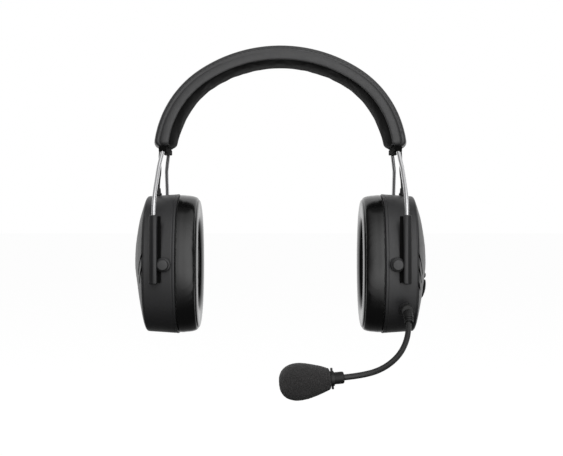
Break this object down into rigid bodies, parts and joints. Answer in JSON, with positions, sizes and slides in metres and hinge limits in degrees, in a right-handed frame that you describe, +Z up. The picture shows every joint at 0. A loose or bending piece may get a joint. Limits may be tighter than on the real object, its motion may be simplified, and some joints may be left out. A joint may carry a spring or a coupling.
{
  "type": "headset microphone",
  "caption": "Over-ear headset with padded headband, wire arms, sliding and tilting closed ear cups, and a bendable boom microphone with foam windscreen.",
  "frame": {"origin": "middle of the headband pad's underside at the crown, where it rests on the wearer's head", "axes": "+Z up, -Y the wearer's front, +X the wearer's left, the side with the boom microphone"},
  "size_m": [0.2202, 0.1496, 0.2505],
  "materials": {
    "band_leatherette": "satin",
    "pad_foam": "matte",
    "spring_steel": "satin",
    "clip_plastic": "satin",
    "rivet_steel": "satin",
    "cable_jacket": "satin",
    "chrome_wire": "polished",
    "slider_plastic": "satin",
    "bush_nylon": "satin",
    "pin_plastic": "satin",
    "shell_plastic": "satin",
    "baffle_plastic": "matte",
    "cushion_leatherette": "gloss",
    "speaker_metal": "satin",
    "screw_steel": "satin",
    "grommet_rubber": "matte",
    "board_laminate": "satin",
    "control_gloss": "gloss",
    "component_metal": "satin",
    "battery_wrap": "satin",
    "boom_plastic": "satin",
    "boom_rubber": "satin",
    "windscreen_foam": "matte"
  },
  "bodies": {
    "headband": {"headband_cover": "band_leatherette", "headband_foam": "pad_foam", "headband_spring": "spring_steel", "left_end_clip": "clip_plastic", "right_end_clip": "clip_plastic", "clip_rivets": "rivet_steel", "band_link_cable": "cable_jacket"},
    "left_arm": {"left_wire_yoke": "chrome_wire", "left_link_cable": "cable_jacket"},
    "right_arm": {"right_wire_yoke": "chrome_wire", "right_link_cable": "cable_jacket"},
    "left_yoke": {"left_slider_front": "slider_plastic", "left_slider_rear": "slider_plastic", "left_slider_bushes": "bush_nylon"},
    "right_yoke": {"right_slider_front": "slider_plastic", "right_slider_rear": "slider_plastic", "right_slider_bushes": "bush_nylon"},
    "left_cup": {"left_shell": "shell_plastic", "left_pivot_pins": "pin_plastic", "left_baffle": "baffle_plastic", "left_baffle_screws": "screw_steel", "left_seal_ring": "baffle_plastic", "left_cushion": "cushion_leatherette", "left_ear_foam": "pad_foam", "left_speaker": "speaker_metal", "left_speaker_grille": "baffle_plastic", "left_damping_foam": "pad_foam", "left_cable_grommet": "grommet_rubber", "circuit_board": "board_laminate", "dial_encoder": "component_metal", "button_switch": "component_metal", "charge_port": "component_metal", "boom_socket": "shell_plastic"},
    "right_cup": {"right_shell": "shell_plastic", "right_pivot_pins": "pin_plastic", "right_baffle": "baffle_plastic", "right_baffle_screws": "screw_steel", "right_seal_ring": "baffle_plastic", "right_cushion": "cushion_leatherette", "right_ear_foam": "pad_foam", "right_speaker": "speaker_metal", "right_speaker_grille": "baffle_plastic", "right_damping_foam": "pad_foam", "right_cable_grommet": "grommet_rubber", "battery": "battery_wrap"},
    "jog_dial": {"jog_dial": "control_gloss"},
    "power_button": {"power_button": "control_gloss"},
    "port_cover": {"port_cover": "grommet_rubber"},
    "boom_root": {"boom_base": "boom_plastic", "strain_relief": "grommet_rubber", "boom_tube_root": "boom_rubber"},
    "boom_mid": {"boom_tube_mid": "boom_rubber"},
    "boom_tip": {"boom_tube_tip": "boom_rubber", "mic_body": "boom_plastic", "mic_capsule": "component_metal", "mic_grille": "component_metal", "windscreen": "windscreen_foam", "retaining_ring": "grommet_rubber"}
  },
  "joints": [
    {"name": "left_band_flex", "type": "hinge", "parent": "headband", "child": "left_arm", "pos_m": [0.087, 0, -0.06404], "axis": [0, -1, 0], "range_deg": [0, 10], "stiffness_Nm_per_rad": 5.9, "deforming": ["left_link_cable"]},
    {"name": "left_height", "type": "slide", "parent": "left_arm", "child": "left_yoke", "axis": [0, 0, -1], "range_m": [0, 0.03]},
    {"name": "left_cup_tilt", "type": "hinge", "parent": "left_yoke", "child": "left_cup", "pos_m": [0.0842, 0, -0.1488], "axis": [0, 1, 0], "range_deg": [-8, 8]},
    {"name": "right_band_flex", "type": "hinge", "parent": "headband", "child": "right_arm", "pos_m": [-0.087, 0, -0.06404], "axis": [0, 1, 0], "range_deg": [0, 10], "stiffness_Nm_per_rad": 5.9, "deforming": ["right_link_cable"]},
    {"name": "right_height", "type": "slide", "parent": "right_arm", "child": "right_yoke", "axis": [0, 0, -1], "range_m": [0, 0.03]},
    {"name": "right_cup_tilt", "type": "hinge", "parent": "right_yoke", "child": "right_cup", "pos_m": [-0.0842, 0, -0.1488], "axis": [0, -1, 0], "range_deg": [-8, 8]},
    {"name": "dial_spin", "type": "hinge", "parent": "left_cup", "child": "jog_dial", "pos_m": [0.10714, 0, -0.168], "axis": [0.9823, 0, -0.1874], "continuous": true},
    {"name": "button_press", "type": "slide", "parent": "left_cup", "child": "power_button", "axis": [-0.9823, 0, 0.1874], "range_m": [0, 0.0006], "stiffness_N_per_m": 2500},
    {"name": "port_cover_hinge", "type": "hinge", "parent": "left_cup", "child": "port_cover", "pos_m": [0.09, 0.03056, -0.18433], "axis": [1, 0, 0], "range_deg": [0, 110]},
    {"name": "boom_swivel", "type": "hinge", "parent": "left_cup", "child": "boom_root", "pos_m": [0.0909, -0.042, -0.1817], "axis": [0, 1, 0], "range_deg": [-20, 100]},
    {"name": "boom_bend", "type": "hinge", "parent": "boom_root", "child": "boom_mid", "pos_m": [0.088, -0.05815, -0.2001], "axis": [0.2984, 0.6201, -0.7255], "range_deg": [-15, 12]},
    {"name": "boom_tip_bend", "type": "hinge", "parent": "boom_mid", "child": "boom_tip", "pos_m": [0.06475, -0.0821, -0.2182], "axis": [0.1887, 0.1193, -0.9748], "range_deg": [-15, 12]}
  ],
  "couplings": [
    {"joint": "boom_tip_bend", "follows": "boom_bend", "ratio": 1}
  ]
}
